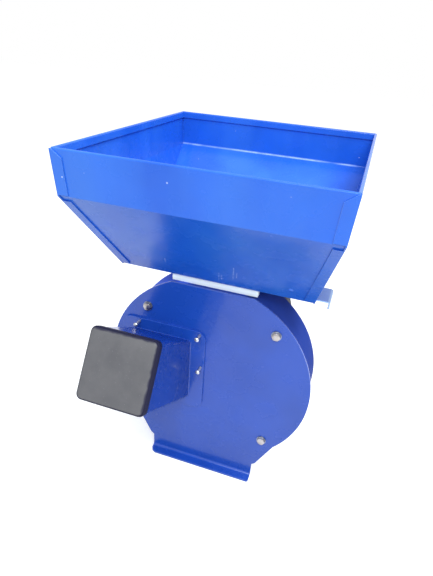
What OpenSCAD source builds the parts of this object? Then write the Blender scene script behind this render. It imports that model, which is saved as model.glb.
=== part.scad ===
// Bench-top electric forage and grain chopper: a round cutting chamber on folded feet,
// a folded sheet hopper with a slide gate on top, a sloping square feed chute with a plug
// in front, and a flange motor behind.
// Millimetres. X to the right, Y away from the front cover, Z up from the floor.

/* [Chamber] */
// Radius of the round edge of the front cover
cover_r = 136; // [130:1:145]
// Height of the rotor's axis above the floor
axis_z = 156.5; // [150:0.5:165]
// Height of the cover's flat top edge, and of the shell's flat top, above the axis
cover_top = 125.3; // [123:0.1:127]
// Thickness of the front cover's sheet
cover_t = 2.5; // [2:0.1:3]
// Clear width of the chamber between the cover and the back plate
chamber_depth = 53.5; // [50:0.5:58]
// Thickness of the rolled shell
shell_t = 2; // [1.5:0.1:2.5]
// How far the cover stands out beyond the shell's round side
cover_lip = 4.5; // [3:0.1:5]
// Thickness of the back plate's sheet
back_t = 2.5; // [2:0.1:3]
// Width of the outlet cut in the bottom of the shell
outlet_w = 104; // [80:1:116]

/* [Feet] */
// Width of the leg below the notch
leg_w = 150; // [130:1:154]
// Width of the leg just above the notch
haunch_w = 159; // [155:1:166]
// Height of the haunch's lower end above the floor
haunch_z = 26; // [24:0.5:30]
// Height of the notch's lower end above the floor
notch_z = 22.5; // [16:0.5:23]
// Height at which the straight haunch leaves the round edge
flare_z = 65; // [60:1:72]
// How far each foot flange reaches out from its plate
foot_depth = 13; // [11:0.5:16]
// Inside radius of the foot's bend
bend_r = 4; // [2:0.5:5]
// Radius of the foot's outer corner on the chute's side
foot_corner_big = 9.5; // [4:0.5:12]
// Radius of the foot's other outer corner
foot_corner_small = 3; // [1:0.5:5]

/* [Cover screws] */
// Distance of each post's axis from the rotor's axis, along X and along Z
post_offset = 84; // [82:0.5:86]
// Outer radius of the threaded posts between the two plates
post_r = 6; // [5:0.25:6.5]
// Radius of the cover screws' thread
cover_screw_r = 3; // [2.5:0.25:3.5]
// Length of thread inside each post
cover_screw_grip = 16; // [10:1:24]
// Outer radius of the washers
washer_r = 6.3; // [6:0.1:7.5]
// Thickness of the washers
washer_t = 1.4; // [1:0.1:2]
// Height of the domed hexagon heads
head_h = 4; // [3:0.25:5]
// Width across corners of the hexagon heads
head_d = 11; // [9:0.25:12]

/* [Sieve] */
// Inside radius of the sieve ring
sieve_r = 107; // [106:0.5:108]
// Thickness of the sieve sheet
sieve_t = 1.2; // [0.8:0.1:1.5]
// Radius of one sieve hole
sieve_hole_r = 3; // [2:0.25:3.5]
// Distance between rows of holes, and between holes along a row
sieve_pitch = 11; // [9:0.5:13]
// Angle of the perforated part, round the bottom of the ring
sieve_span = 116; // [90:2:140]
// Height of the seat ring that centres the sieve on the back plate
seat_h = 6; // [4:0.5:10]
// Thickness of the seat ring
seat_t = 2; // [1.5:0.25:2]

/* [Feed chute] */
// Outside width of the square chute tube
tube_w = 80; // [76:1:84]
// Wall of the chute tube
tube_wall = 2; // [1.5:0.1:2.5]
// Outside corner radius of the chute tube
tube_corner = 5; // [3.5:0.5:8]
// Upward slope of the chute
chute_tilt = 30.8; // [26:0.2:33]
// Distance of the chute's axis to the left of the rotor's axis
chute_x = 62.7; // [60:0.1:64]
// Height of the chute's axis above the rotor's axis, at the cover's face
chute_rise = 0.5; // [-3:0.5:4]
// Length of the chute along its axis, from the cover's face
chute_len = 135; // [110:1:150]
// Thickness of the chute's flange plate
flange_t = 3; // [2:0.25:4]
// Radius of the flange plate's corners
flange_corner = 12; // [6:0.5:16]
// Margin of the flange beside the tube, towards the middle of the cover
flange_inner = 19.2; // [16:0.2:21]
// Distance of the flange's left edge from the rotor's axis
flange_edge = 118.7; // [117:0.1:122]
// Margin of the flange above the tube
flange_over = 17.5; // [17.5:0.5:20]
// Margin of the flange below the tube
flange_under = 12; // [10:0.5:14]
// Radius of the thin flange screws
chute_screw_r = 1.5; // [1.25:0.25:1.5]
// How far the screws' heads stand off the flange
chute_screw_out = 11; // [6:0.5:11]
// Radius of the screws' pan heads
chute_head_r = 3; // [2.5:0.1:3.1]
// Height of the screws' pan heads
chute_head_h = 2.3; // [1.8:0.1:2.4]

/* [Chute plug] */
// Thickness of the plug's face outside the tube
plug_face_t = 5; // [4:0.5:8]
// How far the plug's core reaches into the tube
plug_core_len = 24; // [18:1:30]
// Wall of the plug's core
plug_core_wall = 2.6; // [2:0.2:3.4]
// Gap between the plug's core and the tube, which the fins bridge
plug_core_gap = 3.4; // [2.4:0.2:4]
// Number of fins round the core
plug_fins = 4; // [3:1:5]
// Thickness of one fin
plug_fin_t = 1.4; // [1:0.1:1.8]

/* [Hopper] */
// Width of the hopper at its rim
rim_w = 295; // [285:1:305]
// How far the rim stands out in front of the cover's face
rim_front = 84; // [78:1:90]
// How far the rim reaches back from the cover's face
rim_back = 250; // [240:1:258]
// Width of the hopper at the bend below the rim band
waist_w = 288; // [280:1:294]
// How far the bend stands out in front of the cover's face
waist_front = 81.5; // [76:0.5:84]
// How far the bend reaches back from the cover's face
waist_back = 247; // [238:1:250]
// Height of the rim band
band_h = 48; // [42:1:56]
// Height of the sloping part, from the floor's underside to the bend
slope_h = 105.2; // [95:0.1:115]
// Width of the hopper's floor
floor_w = 241; // [234:1:248]
// Front edge of the floor, behind the cover's face
floor_front = 3.5; // [2:0.1:5]
// Back edge of the floor, behind the cover's face
floor_back = 76; // [75:0.5:80]
// Thickness of the hopper's sheet
hopper_t = 1.5; // [1:0.1:1.6]
// Height of the folded hem inside the rim
hem_h = 9; // [7:0.5:12]
// Gap between the two layers of the hem
hem_gap = 0.5; // [0.3:0.1:0.8]
// Width of the corner tabs that lap over the front and the back
tab_w = 12.5; // [10:0.5:18]
// Height of the slanting cut at the top of each upper tab
tab_cut = 9; // [6:0.5:14]
// Height of the relief notch between the upper and the lower tab
tab_relief = 6; // [3:0.5:8]

/* [Inlet] */
// Width of the plastic pad under the hopper
pad_w = 108.5; // [104:0.5:112]
// Front face of the pad, behind the cover's face
pad_front = 7; // [6.5:0.1:7.2]
// Back face of the pad, behind the cover's face
pad_back = 73; // [72.5:0.5:74.5]
// Thickness of the pad, whose two bars guide the gate
pad_h = 10; // [9:0.25:11]
// Length of the grain inlet, along X
inlet_l = 50; // [40:1:54]
// Width of the grain inlet, along Y
inlet_w = 28; // [20:1:28]
// Wall of the short duct below the inlet
duct_wall = 1.5; // [1:0.1:2]

/* [Slide gate] */
// Width of the gate plate
gate_w = 35.5; // [34:0.25:36]
// Thickness of the gate plate
gate_t = 1.5; // [1.2:0.1:1.8]
// Centre line of the gate, behind the cover's face
gate_y = 31.5; // [31.2:0.1:31.8]
// How far the gate covers the inlet's closed end
gate_lap = 5; // [3:0.5:8]
// How far the handle's lip stands out beside the rotor's axis
gate_reach = 137; // [132:1:142]
// Inside radius of the handle's bend
gate_bend = 1.5; // [1:0.25:2]
// Straight drop of the handle's lip
gate_lip = 4; // [3:0.5:7]
// Height of the guide rails under the hopper's floor
guide_h = 3.8; // [3.6:0.1:4.4]

/* [Hopper screws] */
// Radius of the hopper screws
hopper_screw_r = 2; // [1.5:0.25:2]
// Distance of the hopper screws from the middle, along X
hopper_screw_x = 34; // [33:0.25:35]
// Front row of hopper screws, behind the cover's face
hopper_screw_front = 10.2; // [10:0.1:10.4]
// Back row of hopper screws, behind the cover's face
hopper_screw_back = 67; // [66:0.5:67.5]

/* [Rotor] */
// Radius swept by the knives
knife_reach = 99; // [90:1:101]
// Width of the knives
knife_w = 34; // [32:1:44]
// Thickness of the knives
knife_t = 4; // [3:0.5:5]
// Width of the ground edge on each knife
knife_grind = 9; // [5:1:11]
// Distance from the axis at which the ground edges begin
knife_root = 24; // [20:1:40]
// Front face of the front knife, behind the cover's face
knife_y = 19; // [18.5:0.5:20]
// Thickness of the spacer sleeves between the blades
spacer_t = 4; // [3:0.5:5]
// Outer radius of the spacer sleeves
spacer_r = 15; // [13:0.5:17]
// Thickness of the two beaters
beater_t = 6; // [5:0.5:7]
// Width of the beaters
beater_w = 24; // [20:1:30]
// Radius of the motor shaft
shaft_r = 7.5; // [7:0.25:8]
// Radius of the shaft's threaded front end
stud_r = 6; // [5:0.5:6.5]
// Height of the lock nut
nut_h = 8; // [6:0.5:8]
// Width of the drive key
key_w = 5; // [4:0.5:5]

/* [Motor] */
// Outer radius of the motor's tube between its ribs
motor_r = 69; // [67:0.5:71]
// Outer radius over the ribs and the fan cover
motor_rib_r = 74; // [73:0.5:76]
// Wall of the motor's tube
motor_wall = 4; // [3:0.25:5]
// Length of the front end shield
front_shield_l = 14; // [13:0.5:16]
// Length of the motor's tube
tube_l = 92; // [86:1:96]
// Length of the rear end shield
rear_shield_l = 13; // [13:0.5:15]
// Length of the fan cover behind the rear shield
fan_cover_l = 28; // [26:1:32]
// Wall of the fan cover
fan_cover_wall = 1.5; // [1.2:0.1:2]
// Number of cooling ribs on the motor
rib_count = 28; // [20:4:32]
// Thickness of one cooling rib
rib_t = 2.4; // [1.8:0.2:3]
// Radial gap between the armature and the stator core
air_gap = 0.5; // [0.4:0.1:0.8]
// Radius of the armature
armature_r = 38; // [34:0.5:40]
// Length of the stator core
core_l = 54; // [46:1:58]
// Outer radius of the shaft's ball bearings
bearing_r = 17.5; // [16:0.5:19]
// Width of the shaft's ball bearings
bearing_w = 11; // [9:0.5:11]
// Number of fan blades
fan_blades = 8; // [5:1:10]
// Radius of the fan's disc
fan_r = 59; // [54:1:62]
// Length of the fan's hub
fan_hub_l = 14; // [12:0.5:15]

/* [Rear stand] */
// Height of the motor's foot pads above the floor
pad_z = 80; // [76:0.5:81]
// Width of the stand's top
stand_top_w = 96; // [90:1:104]
// Width of the stand over its two feet
stand_foot_w = 136; // [126:1:140]
// Length of the stand along the motor
stand_l = 60; // [50:1:70]
// Thickness of the stand's sheet
stand_t = 3; // [2.5:0.25:3.5]
// Width of each of the stand's feet
stand_foot = 16; // [12:0.5:20]
// Radius of the stand's bolts
stand_bolt_r = 3; // [2.5:0.25:3]
// Width of each of the motor's two foot pads
motor_pad_w = 22; // [18:1:24]
// Depth of the bolts' thread in the foot pads
stand_bolt_grip = 11; // [8:0.5:12]

/* [Switch box] */
// Length of the switch box along the motor
box_l = 64; // [60:1:70]
// Width of the switch box
box_w = 72; // [66:1:80]
// Height of the switch box without its lid
box_h = 32; // [29:0.5:35]
// Wall of the switch box
box_wall = 2.4; // [2:0.1:3]
// Radius of the box's upright corners
box_corner = 6; // [5.5:0.5:8]
// Thickness of the lid
lid_t = 3; // [2:0.25:4]
// Height of the box's seat above the motor's axis
box_seat = 76; // [75.5:0.5:78]
// Width of the switch's opening
switch_w = 28; // [26:0.5:30]
// Height of the switch's opening
switch_h = 13; // [12:0.5:14]
// Tilt of the rocker away from the middle, at each end of its travel
rocker_tilt = 11; // [8:0.5:12]
// Length of the lid's screws below their heads
lid_screw_l = 14; // [12:0.5:16]
// Radius of the cord gland's bore
gland_bore_r = 4.5; // [3.5:0.25:5]

/* [Capacitor] */
// Radius of the run capacitor
capacitor_r = 17.5; // [15:0.5:19]
// Length of the run capacitor
capacitor_l = 70; // [56:1:78]
// Thickness of the capacitor's clip
clip_t = 1.5; // [1.2:0.1:2]

/* [Hidden] */

$fn = 72;

// Gaps: same-body fits, a shaft that runs, a part that slides
fit = 0.1;
running = 0.05;
sliding = 0.3;
eps = 0.01;

// Chamber
shell_r = cover_r - cover_lip;
back_y = cover_t + chamber_depth;
back_end = back_y + back_t;
top_z = axis_z + cover_top;

// Hopper heights and the outlines of its outer faces
floor_z = top_z + pad_h;
waist_z = floor_z + slope_h;
rim_z = waist_z + band_h;
hem_r = hopper_t + hem_gap / 2;
hem_step = 30;
hopper_nut_h = 1.6 * hopper_screw_r;
rivet_in = 27;
rivet_r = 3.2;
rivet_h = 1.2;
rivet_dome = 4.6;
wrap_path = [[-rim_front, rim_z], [-waist_front, waist_z], [floor_front, floor_z],
    [floor_back, floor_z], [waist_back, waist_z], [rim_back, rim_z]];
side_path = [[floor_w / 2, floor_z], [waist_w / 2, waist_z], [rim_w / 2, rim_z]];

// Gate
gate_z = floor_z - sliding - gate_t;
gate_start = -inlet_l / 2 - gate_lap;
gate_slot_w = gate_w + 2 * sliding;
gate_ledge = 1.5;

// Chute frame and plug
chute_z = axis_z + chute_rise;
bore_w = tube_w - 2 * tube_wall;
bore_corner = max(tube_corner - tube_wall, 0.5);
core_w = bore_w - 2 * plug_core_gap;
fin_w = bore_w - 4 * fit;
fin_corner = max(bore_corner - 2 * fit, 0.3);
fin_pitch = plug_core_len / plug_fins;
tube_rise = tube_w / 2 / cos(chute_tilt);
flange_left = -flange_edge;
flange_right = -chute_x + tube_w / 2 + flange_inner;
chute_nut_r = 2 * chute_screw_r;
chute_nut_h = 2.4;
recess_w = 0.8;
recess_h = 1.1;
chute_screw_end = cover_t + chute_nut_h + 0.8;

flange_top = chute_rise + tube_rise + flange_over;
flange_bottom = chute_rise - tube_rise - flange_under;
// The flange's screws: two along the top edge and two halfway down, those on the left on a
// circle just outside the sieve
chute_ring = sieve_r + sieve_t + chute_nut_r + 1;
screw_inset = 4.2;
upper_screws = flange_top - screw_inset;
lower_screws = chute_rise + 11;
chute_screws_at = [[-sqrt(chute_ring * chute_ring - upper_screws * upper_screws), upper_screws],
    [flange_right - 1.8 * screw_inset, upper_screws],
    [-sqrt(chute_ring * chute_ring - lower_screws * lower_screws), lower_screws],
    [flange_right - screw_inset, lower_screws]];

// Rotor stack, from the front to the back
cross_y = knife_y + knife_t + spacer_t;
beater_y = cross_y + knife_t + spacer_t;
stack_end = beater_y + beater_t;
edge_t = 0.4;
washer_h = 2;
stud_y = knife_y - washer_h - nut_h - 2;

// Motor stations along Y
shield_y = back_end;
housing_y = shield_y + front_shield_l;
rear_shield_y = housing_y + tube_l;
fan_y = rear_shield_y + rear_shield_l;
motor_end = fan_y + fan_cover_l;
front_bearing_y = housing_y - bearing_w;
sleeve_end = front_bearing_y - sliding;
rear_bearing_y = rear_shield_y + 1;
core_y = housing_y + (tube_l - core_l) / 2;
core_r = motor_r - motor_wall;
spigot_l = 4;
shield_wall = 5;
shield_face = 6;
bearing_wall = 6;
bearing_lip = 4;
shield_screw_r = 2.5;
shield_screw_pcd_r = 59;
shield_screw_grip = 5;
shield_head_h = 3.5;
flange_screw_r = 3;
flange_screw_pcd_r = 52;
flange_screw_grip = 5;
sink_h = 2;
fan_screw_r = 1.5;
sleeve_r = shaft_r + 4;
shaft_hole_r = sleeve_r + 1.5;

// Stations of the fan cover's lap over the rear shield
lap_start = rear_shield_y + 4;
lap_screw_y = rear_shield_y + 8;
lap_end = rear_shield_y + 12;

// Stand and switch box stations
stand_y = housing_y + (tube_l - stand_l) / 2;
boss_x = box_w / 2 - 2;
boss_low_r = 46;
bolt_x = stand_top_w / 2 - motor_pad_w / 2 - 2;
bolt_inset = 12;
winding_gap = 3;
winding_round = 3.5;
end_ring = 5;
shaft_gap = 5;
box_y = housing_y + (tube_l - box_l) / 2;
box_z = axis_z + box_seat;
lid_screw_r = 1.5;
lid_step = 1;
lid_boss_r = 4;
lid_head_z = box_z + box_h + lid_t + lid_step;
switch_z = box_z + box_h / 2;
switch_y = box_y + box_l;
rocker_pin_r = 1.2;
gland_r = 8;
gland_neck_r = 6;
gland_len = 16;
gland_nut_t = 4;
cable_hole_r = 6;
frame_wall = 1.6;
capacitor_d = motor_rib_r + capacitor_r + clip_t + fit;
capacitor_angle = 180 + 360 / rib_count;

// The model stands with the middle of its box over the origin
plug_round = 2.5;
chute_reach = (chute_len + plug_face_t - plug_round) * cos(chute_tilt)
    + (tube_w / 2 - plug_round) * sin(chute_tilt) + plug_round;
y_front = -max(chute_reach, rim_front + hopper_t);
y_back = max(rim_back + hopper_t, motor_end);
y_mid = (y_front + y_back) / 2;

module place() {
    translate([0, -y_mid, 0]) children();
}

// Paths and profiles
function unit(v) = v / norm(v);
function left_of(a, b) = [a[1] - b[1], b[0] - a[0]] / norm(b - a);
function corner_offset(n1, n2) = (n1 + n2) / (1 + n1 * n2);
function offset_point(p, i, d) =
    i == 0 ? p[0] + d * left_of(p[0], p[1]) :
    i == len(p) - 1 ? p[i] + d * left_of(p[i - 1], p[i]) :
    p[i] + d * corner_offset(left_of(p[i - 1], p[i]), left_of(p[i], p[i + 1]));
function offset_path(p, d) = [for (i = [0 : len(p) - 1]) offset_point(p, i, d)];
function backwards(p) = [for (i = [len(p) - 1 : -1 : 0]) p[i]];
function mirrored(p) = [for (q = p) [-q[0], q[1]]];

// Half the hopper's outside width at a height
function side_x(z) = z > waist_z
    ? waist_w / 2 + (rim_w - waist_w) / 2 * (z - waist_z) / band_h
    : floor_w / 2 + (waist_w - floor_w) / 2 * (z - floor_z) / slope_h;

module sheet(p, inner, outer) {
    polygon(concat(offset_path(p, inner), backwards(offset_path(p, outer))));
}

// A profile drawn in X and Z, as a plate from y to y + t
module plate_y(y, t) {
    translate([0, y + t, 0]) rotate([90, 0, 0]) linear_extrude(t) children();
}

// A profile drawn in Y and Z, as a bar from x0 to x1
module bar_x(x0, x1) {
    translate([x0, 0, 0]) rotate([90, 0, 90]) linear_extrude(x1 - x0) children();
}

// A round bar along Y
module rod(r, y0, y1) {
    translate([0, y1, 0]) rotate([90, 0, 0]) cylinder(r = r, h = y1 - y0);
}

// A round bar along Y at the height of the rotor's axis
module axle(r, y0, y1) {
    translate([0, 0, axis_z]) rod(r, y0, y1);
}

// A hexagon bar along Y
module hexagon(d, y0, y1) {
    translate([0, y1, 0]) rotate([90, 0, 0]) cylinder(d = d, h = y1 - y0, $fn = 6);
}

module rounded_rect(w, h, r) {
    square([w - 2 * r, h], center = true);
    square([w, h - 2 * r], center = true);
    for (x = [-1, 1], y = [-1, 1])
        translate([x * (w / 2 - r), y * (h / 2 - r)]) circle(r);
}

module at_posts() {
    for (x = [-1, 1], z = [-1, 1])
        translate([x * post_offset, 0, axis_z + z * post_offset]) children();
}

module at_chute_screws() {
    for (p = chute_screws_at)
        translate([p[0], 0, axis_z + p[1]]) children();
}

module at_hopper_screws() {
    for (x = [-1, 1], y = [hopper_screw_front, hopper_screw_back])
        translate([x * hopper_screw_x, y, 0]) children();
}

// Copies round the motor's axis, at a radius
module round_axis(count, first, radius) {
    for (i = [0 : count - 1])
        translate([0, 0, axis_z]) rotate([0, first + i * 360 / count, 0])
            translate([radius, 0, 0]) children();
}

// Round outline with a flat top, about the rotor's axis
module chamber_outline(r, top) {
    intersection() {
        circle(r, $fn = 144);
        translate([-2 * r, -2 * r]) square([4 * r, 2 * r + top]);
    }
}

// Leg below the round edge, with its haunches and notches
module leg_outline(r, bottom) {
    flare_x = sqrt(r * r - pow(axis_z - flare_z, 2));
    right = [[leg_w / 2, bottom], [leg_w / 2, notch_z], [haunch_w / 2, haunch_z],
        [flare_x, flare_z]];
    polygon(concat(right, backwards(mirrored(right))));
}

// A foot bent forward from a plate whose front face is at y = 0
module bent_foot(t) {
    outer = bend_r + t;
    big = min(foot_corner_big, foot_depth - bend_r);
    small = min(foot_corner_small, foot_depth - bend_r);
    bar_x(-leg_w / 2, leg_w / 2)
        translate([-bend_r, outer]) intersection() {
            difference() {
                circle(outer);
                circle(bend_r);
            }
            translate([0, -outer]) square(outer);
        }
    linear_extrude(t) {
        translate([-leg_w / 2, -foot_depth + big]) square([leg_w, foot_depth - big - bend_r]);
        translate([-leg_w / 2 + big, -foot_depth]) square([leg_w - big - small, foot_depth - bend_r]);
        translate([-leg_w / 2 + big, -foot_depth + big]) circle(big);
        translate([leg_w / 2 - small, -foot_depth + small]) circle(small);
        translate([leg_w / 2 - small, -foot_depth + small])
            square([small, foot_depth - small - bend_r]);
    }
}

// Turns the drawing plane square to the chute, with Z along its axis
module chute_frame() {
    translate([-chute_x, 0, chute_z]) rotate([90 - chute_tilt, 0, 0]) children();
}

module chute_bore() {
    chute_frame() translate([0, 0, -tube_w]) linear_extrude(tube_w + 2 * chute_len)
        rounded_rect(bore_w, bore_w, bore_corner);
}

module front_cover() {
    place() color([0.13, 0.27, 0.72]) difference() {
        union() {
            plate_y(0, cover_t) {
                translate([0, axis_z]) chamber_outline(cover_r, cover_top);
                leg_outline(cover_r, bend_r + cover_t);
            }
            bent_foot(cover_t);
        }
        chute_bore();
        at_posts() rod(cover_screw_r + fit, -1, cover_t + 1);
        at_chute_screws() rod(chute_screw_r + fit, -1, cover_t + 1);
    }
}

module drum_shell() {
    place() color([0.12, 0.23, 0.62]) difference() {
        plate_y(cover_t, chamber_depth)
            translate([0, axis_z]) chamber_outline(shell_r, cover_top);
        plate_y(cover_t - 1, chamber_depth + 2)
            translate([0, axis_z]) chamber_outline(shell_r - shell_t, cover_top - shell_t);
        translate([-outlet_w / 2, cover_t - 1, 0])
            cube([outlet_w, chamber_depth + 2, axis_z / 2]);
        inlet_block(duct_wall + fit, floor_z);
        at_hopper_screws() translate([0, 0, axis_z])
            cylinder(r = hopper_screw_r + fit, h = shell_r);
    }
}

module back_plate() {
    place() color([0.12, 0.23, 0.62]) difference() {
        union() {
            plate_y(back_y, back_t) {
                translate([0, axis_z]) chamber_outline(shell_r, cover_top);
                leg_outline(shell_r, bend_r + back_t);
            }
            translate([0, back_end, 0]) mirror([0, 1, 0]) bent_foot(back_t);
        }
        axle(shaft_hole_r, back_y - 1, back_end + 1);
        round_axis(4, 45, flange_screw_pcd_r) {
            rod(flange_screw_r + fit, back_y - 1, back_end + 1);
            translate([0, back_y - eps, 0]) rotate([-90, 0, 0])
                cylinder(r1 = 2 * flange_screw_r + fit, r2 = flange_screw_r + fit, h = sink_h);
        }
    }
}

module cover_posts() {
    place() color([0.55, 0.57, 0.6]) at_posts() difference() {
        rod(post_r, cover_t, back_y);
        rod(cover_screw_r + fit, cover_t - 1, cover_t + cover_screw_grip + 2);
    }
}

module sieve_seat() {
    place() color([0.12, 0.23, 0.62]) difference() {
        axle(sieve_r + sieve_t + fit + seat_t, back_y - seat_h, back_y);
        axle(sieve_r + sieve_t + fit, back_y - seat_h - 1, back_y + 1);
        inlet_block(duct_wall + sliding, floor_z);
    }
}

// The rows are spread evenly over the sieve's width, clear of the seat ring
module sieve() {
    rows = floor((chamber_depth - seat_h - 6) / sieve_pitch);
    step = sieve_pitch / sieve_r * 180 / PI;
    turns = floor(sieve_span / step / 2);
    first_y = cover_t + (chamber_depth - seat_h - (rows - 1) * sieve_pitch) / 2;
    place() color([0.7, 0.71, 0.73]) difference() {
        axle(sieve_r + sieve_t, cover_t + fit, back_y - fit);
        axle(sieve_r, cover_t, back_y);
        inlet_block(duct_wall + sliding, floor_z);
        for (row = [0 : rows - 1], i = [-turns : turns])
            translate([0, first_y + row * sieve_pitch, axis_z])
                rotate([0, 180 + i * step, 0])
                    translate([0, 0, sieve_r - 2]) cylinder(r = sieve_hole_r, h = sieve_t + 4);
    }
}

// The space of the grain inlet, widened by a margin, up to a height
module inlet_block(margin, high) {
    low = axis_z + sieve_r - 16;
    translate([-inlet_l / 2 - margin, gate_y - inlet_w / 2 - margin, low])
        cube([inlet_l + 2 * margin, inlet_w + 2 * margin, high - low]);
}

module inlet_duct() {
    place() color([0.12, 0.23, 0.62]) difference() {
        intersection() {
            inlet_block(duct_wall, gate_z - sliding);
            translate([-inlet_l, 0, axis_z + sieve_r + sieve_t + 1])
                cube([2 * inlet_l, back_y, 2 * shell_r]);
        }
        inlet_block(0, floor_z);
    }
}

module cover_washers() {
    place() color([0.78, 0.79, 0.8]) at_posts() difference() {
        rod(washer_r, -washer_t, 0);
        rod(cover_screw_r + fit, -washer_t - 1, 1);
    }
}

module cover_screws() {
    place() color([0.8, 0.81, 0.82]) at_posts() {
        rod(cover_screw_r, -washer_t, cover_t + cover_screw_grip);
        intersection() {
            hexagon(head_d, -washer_t - head_h, -washer_t);
            translate([0, -washer_t - head_h + 1.1 * head_d, 0]) sphere(1.1 * head_d);
        }
    }
}

module chute_flange() {
    w = flange_right - flange_left;
    h = flange_top - flange_bottom;
    place() color([0.13, 0.27, 0.72]) difference() {
        plate_y(-flange_t, flange_t)
            translate([flange_left + w / 2, axis_z + flange_bottom + h / 2])
                rounded_rect(w, h, flange_corner);
        chute_bore();
        at_chute_screws() rod(chute_screw_r + fit, -flange_t - 1, 1);
    }
}

module chute_tube() {
    place() color([0.14, 0.26, 0.7]) difference() {
        chute_frame() translate([0, 0, -tube_w]) linear_extrude(tube_w + chute_len)
            rounded_rect(tube_w, tube_w, tube_corner);
        chute_bore();
        translate([-2 * tube_w, -flange_t, chute_z - 2 * tube_w])
            cube([3 * tube_w, 2 * tube_w, 4 * tube_w]);
    }
}

module chute_screws() {
    head_y = -flange_t - chute_screw_out;
    place() color([0.82, 0.83, 0.84]) at_chute_screws() {
        rod(chute_screw_r, head_y, chute_screw_end);
        difference() {
            intersection() {
                rod(chute_head_r, head_y - chute_head_h, head_y);
                translate([0, head_y - chute_head_h + 1.3 * chute_head_r, 0])
                    sphere(1.3 * chute_head_r);
            }
            for (turn = [0, 90]) rotate([0, turn, 0])
                translate([-chute_head_r / 2, head_y - chute_head_h - 1, -recess_w / 2])
                    cube([chute_head_r, 1 + recess_h, recess_w]);
        }
    }
}

module chute_nuts() {
    place() color([0.8, 0.81, 0.82]) at_chute_screws() difference() {
        hexagon(2 * chute_nut_r, cover_t, cover_t + chute_nut_h);
        rod(chute_screw_r + fit, cover_t - 1, cover_t + chute_nut_h + 1);
    }
}

// Pressed-in plug: a rounded face on the tube's end, and a finned hollow core inside it
module chute_plug() {
    inset = plug_round;
    place() color([0.2, 0.2, 0.21]) chute_frame() translate([0, 0, chute_len]) {
        hull() for (i = [0 : 4]) {
            a = i * 22.5;
            shrink = inset * (1 - cos(a));
            translate([0, 0, plug_face_t - inset + inset * sin(a) - eps])
                linear_extrude(eps)
                    rounded_rect(tube_w - 2 * shrink, tube_w - 2 * shrink, tube_corner + 1);
        }
        linear_extrude(plug_face_t - inset) rounded_rect(tube_w, tube_w, tube_corner + 1);
        translate([0, 0, -plug_core_len]) linear_extrude(plug_core_len) difference() {
            rounded_rect(core_w, core_w, bore_corner);
            rounded_rect(core_w - 2 * plug_core_wall, core_w - 2 * plug_core_wall, 1);
        }
        for (i = [0 : plug_fins - 1])
            translate([0, 0, -plug_core_len + (i + 0.4) * fin_pitch]) linear_extrude(plug_fin_t)
                difference() {
                    rounded_rect(fin_w, fin_w, fin_corner);
                    square(core_w - plug_core_wall, center = true);
                }
    }
}

// Plastic pad with a slot from its right end: the gate slides on ledges along the slot, and
// the duct stands in it
module inlet_pad() {
    place() color([0.88, 0.87, 0.92]) difference() {
        translate([-pad_w / 2, pad_front, top_z]) cube([pad_w, pad_back - pad_front, pad_h]);
        translate([gate_start - sliding, gate_y - gate_slot_w / 2, gate_z - sliding])
            cube([pad_w, gate_slot_w, pad_h]);
        translate([gate_start - sliding, gate_y - gate_slot_w / 2 + gate_ledge, top_z - 1])
            cube([pad_w, gate_slot_w - 2 * gate_ledge, 2 * pad_h]);
        at_hopper_screws() translate([0, 0, axis_z])
            cylinder(r = hopper_screw_r + fit, h = 2 * shell_r);
    }
}

// Angle bracket that carries the hopper's back behind the chamber
module hopper_bracket() {
    leg = 24;
    place() color([0.12, 0.23, 0.62]) difference() {
        translate([-pad_w / 2, back_end, top_z - leg])
            cube([pad_w, pad_back - back_end, leg]);
        translate([-pad_w / 2 - 1, back_end + back_t, top_z - leg - 1])
            cube([pad_w + 2, pad_back, leg + 1 - back_t]);
        at_hopper_screws() translate([0, 0, axis_z])
            cylinder(r = hopper_screw_r + fit, h = 2 * shell_r);
    }
}

// The fold at a sheet's end, from its outer face over the top to its inner face; side is
// 1 where the inside lies to the left of the way up
function hem(top, below, side, drop) =
    let(u = unit(top - below), n = side * [-u[1], u[0]], c = top - hem_r * u + hem_r * n)
    concat(
        [for (a = [0 : hem_step : 180]) c + hem_r * (sin(a) * u - cos(a) * n)],
        [c + hem_r * n - drop * u, c + hem_gap / 2 * n - drop * u],
        [for (a = [180 : -hem_step : 0]) c + hem_gap / 2 * (sin(a) * u - cos(a) * n)]);

// The points of a path between its ends
function middle(p) = [for (i = [1 : len(p) - 2]) p[i]];

// Front, floor and back of the hopper, folded from one sheet
module hopper_main_sheet() {
    inside = offset_path(side_path, hopper_t);
    n = len(wrap_path) - 1;
    drop = hem_h - hem_r;
    cross = concat([[inside[0][0], floor_z - 1]], inside, [[rim_w / 2, rim_z + 9]]);
    place() color([0.2, 0.36, 0.85]) difference() {
        intersection() {
            bar_x(-rim_w / 2, rim_w / 2) polygon(concat(
                hem(wrap_path[0], wrap_path[1], -1, drop),
                middle(offset_path(wrap_path, hopper_t)),
                backwards(hem(wrap_path[n], wrap_path[n - 1], 1, drop)),
                backwards(middle(wrap_path))));
            plate_y(-2 * rim_front, 2 * rim_back + 2 * rim_front)
                polygon(concat(cross, backwards(mirrored(cross))));
        }
        inlet_block(0, floor_z + 9);
        at_hopper_screws() translate([0, 0, axis_z])
            cylinder(r = hopper_screw_r + fit, h = 2 * shell_r);
    }
}

// The same path with its last point drawn back along the sheet
function drawn_back(p, d) = let(n = len(p) - 1)
    [for (i = [0 : n]) i == n ? p[n] + d * unit(p[n - 1] - p[n]) : p[i]];

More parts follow.
